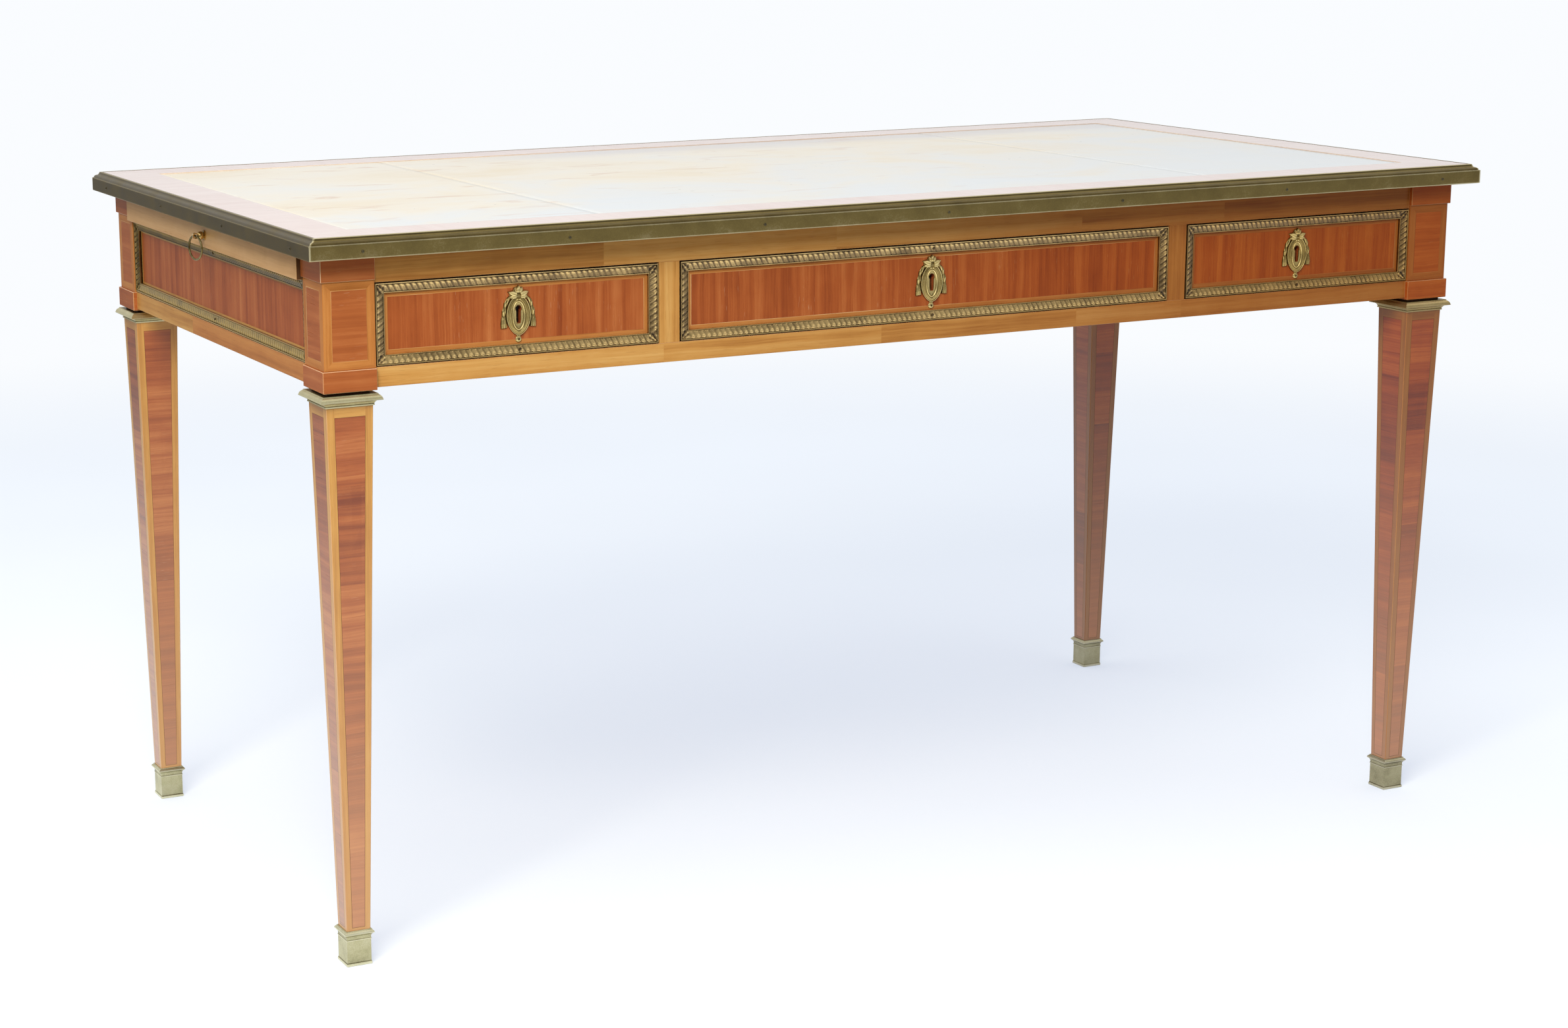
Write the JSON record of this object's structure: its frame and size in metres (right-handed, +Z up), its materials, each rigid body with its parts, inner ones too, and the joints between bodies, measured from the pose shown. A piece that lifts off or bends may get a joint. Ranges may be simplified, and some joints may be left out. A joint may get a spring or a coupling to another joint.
{
  "type": "bureau plat",
  "caption": "Flat writing desk on square tapered legs, with locking frieze drawers, a pull-out writing slide at each end, a leather-lined top and gilt bronze mouldings.",
  "frame": {"origin": "on the floor, under the middle of the top", "axes": "+X along the length, to the right of a person sitting at the front; the drawers open towards -Y; +Z up"},
  "size_m": [1.4618, 0.7518, 0.77],
  "materials": {
    "tulipwood": "waxed veneer",
    "satinwood": "waxed veneer",
    "oak": "bare, worn",
    "gilt_bronze": "worn gilding",
    "leather": "worn and stained",
    "iron": "dull"
  },
  "bodies": {
    "desk": {"leg_front_left": "tulipwood", "leg_front_right": "tulipwood", "leg_rear_left": "tulipwood", "leg_rear_right": "tulipwood", "back_apron": "tulipwood", "end_apron_left": "tulipwood", "end_apron_right": "tulipwood", "top_border": "tulipwood", "front_top_rail": "satinwood", "front_bottom_rail": "satinwood", "drawer_dividers": "satinwood", "drawer_runners": "oak", "slide_bearers": "oak", "top_board": "oak", "leg_collar_front_left": "gilt_bronze", "leg_collar_front_right": "gilt_bronze", "leg_collar_rear_left": "gilt_bronze", "leg_collar_rear_right": "gilt_bronze", "sabot_front_left": "gilt_bronze", "sabot_front_right": "gilt_bronze", "sabot_rear_left": "gilt_bronze", "sabot_rear_right": "gilt_bronze", "back_frames": "gilt_bronze", "end_frame_left": "gilt_bronze", "end_frame_right": "gilt_bronze", "top_edge_front": "gilt_bronze", "top_edge_right": "gilt_bronze", "top_edge_back": "gilt_bronze", "top_edge_left": "gilt_bronze", "top_edge_pins": "gilt_bronze", "top_leather": "leather", "top_screws": "iron"},
    "drawer_left": {"drawer_left_front": "tulipwood", "drawer_left_box": "oak", "drawer_left_bottom": "oak", "drawer_left_frame": "gilt_bronze", "drawer_left_lock": "iron", "drawer_left_escutcheon": "gilt_bronze"},
    "drawer_left_bolt": {"drawer_left_lock_bolt": "iron"},
    "drawer_middle": {"drawer_middle_front": "tulipwood", "drawer_middle_box": "oak", "drawer_middle_bottom": "oak", "drawer_middle_frame": "gilt_bronze", "drawer_middle_lock": "iron", "drawer_middle_escutcheon": "gilt_bronze"},
    "drawer_middle_bolt": {"drawer_middle_lock_bolt": "iron"},
    "drawer_right": {"drawer_right_front": "tulipwood", "drawer_right_box": "oak", "drawer_right_bottom": "oak", "drawer_right_frame": "gilt_bronze", "drawer_right_lock": "iron", "drawer_right_escutcheon": "gilt_bronze"},
    "drawer_right_bolt": {"drawer_right_lock_bolt": "iron"},
    "slide_left": {"slide_left_board": "oak", "slide_left_pull": "gilt_bronze"},
    "slide_left_ring": {"slide_left_ring": "gilt_bronze"},
    "slide_right": {"slide_right_board": "oak", "slide_right_pull": "gilt_bronze"},
    "slide_right_ring": {"slide_right_ring": "gilt_bronze"}
  },
  "joints": [
    {"name": "drawer_left_slide", "type": "slide", "parent": "desk", "child": "drawer_left", "axis": [0, -1, 0], "range_m": [0, 0.4]},
    {"name": "drawer_left_bolt_throw", "type": "slide", "parent": "drawer_left", "child": "drawer_left_bolt", "axis": [0, 0, 1], "range_m": [0, 0.008]},
    {"name": "drawer_middle_slide", "type": "slide", "parent": "desk", "child": "drawer_middle", "axis": [0, -1, 0], "range_m": [0, 0.4]},
    {"name": "drawer_middle_bolt_throw", "type": "slide", "parent": "drawer_middle", "child": "drawer_middle_bolt", "axis": [0, 0, 1], "range_m": [0, 0.008]},
    {"name": "drawer_right_slide", "type": "slide", "parent": "desk", "child": "drawer_right", "axis": [0, -1, 0], "range_m": [0, 0.4]},
    {"name": "drawer_right_bolt_throw", "type": "slide", "parent": "drawer_right", "child": "drawer_right_bolt", "axis": [0, 0, 1], "range_m": [0, 0.008]},
    {"name": "slide_left_pull_out", "type": "slide", "parent": "desk", "child": "slide_left", "axis": [-1, 0, 0], "range_m": [0, 0.33]},
    {"name": "slide_left_ring_swing", "type": "hinge", "parent": "slide_left", "child": "slide_left_ring", "pos_m": [-0.7248, 0, 0.73335], "axis": [0, 1, 0], "range_deg": [-12, 100]},
    {"name": "slide_right_pull_out", "type": "slide", "parent": "desk", "child": "slide_right", "axis": [1, 0, 0], "range_m": [0, 0.33]},
    {"name": "slide_right_ring_swing", "type": "hinge", "parent": "slide_right", "child": "slide_right_ring", "pos_m": [0.7248, 0, 0.73335], "axis": [0, -1, 0], "range_deg": [-12, 100]}
  ]
}
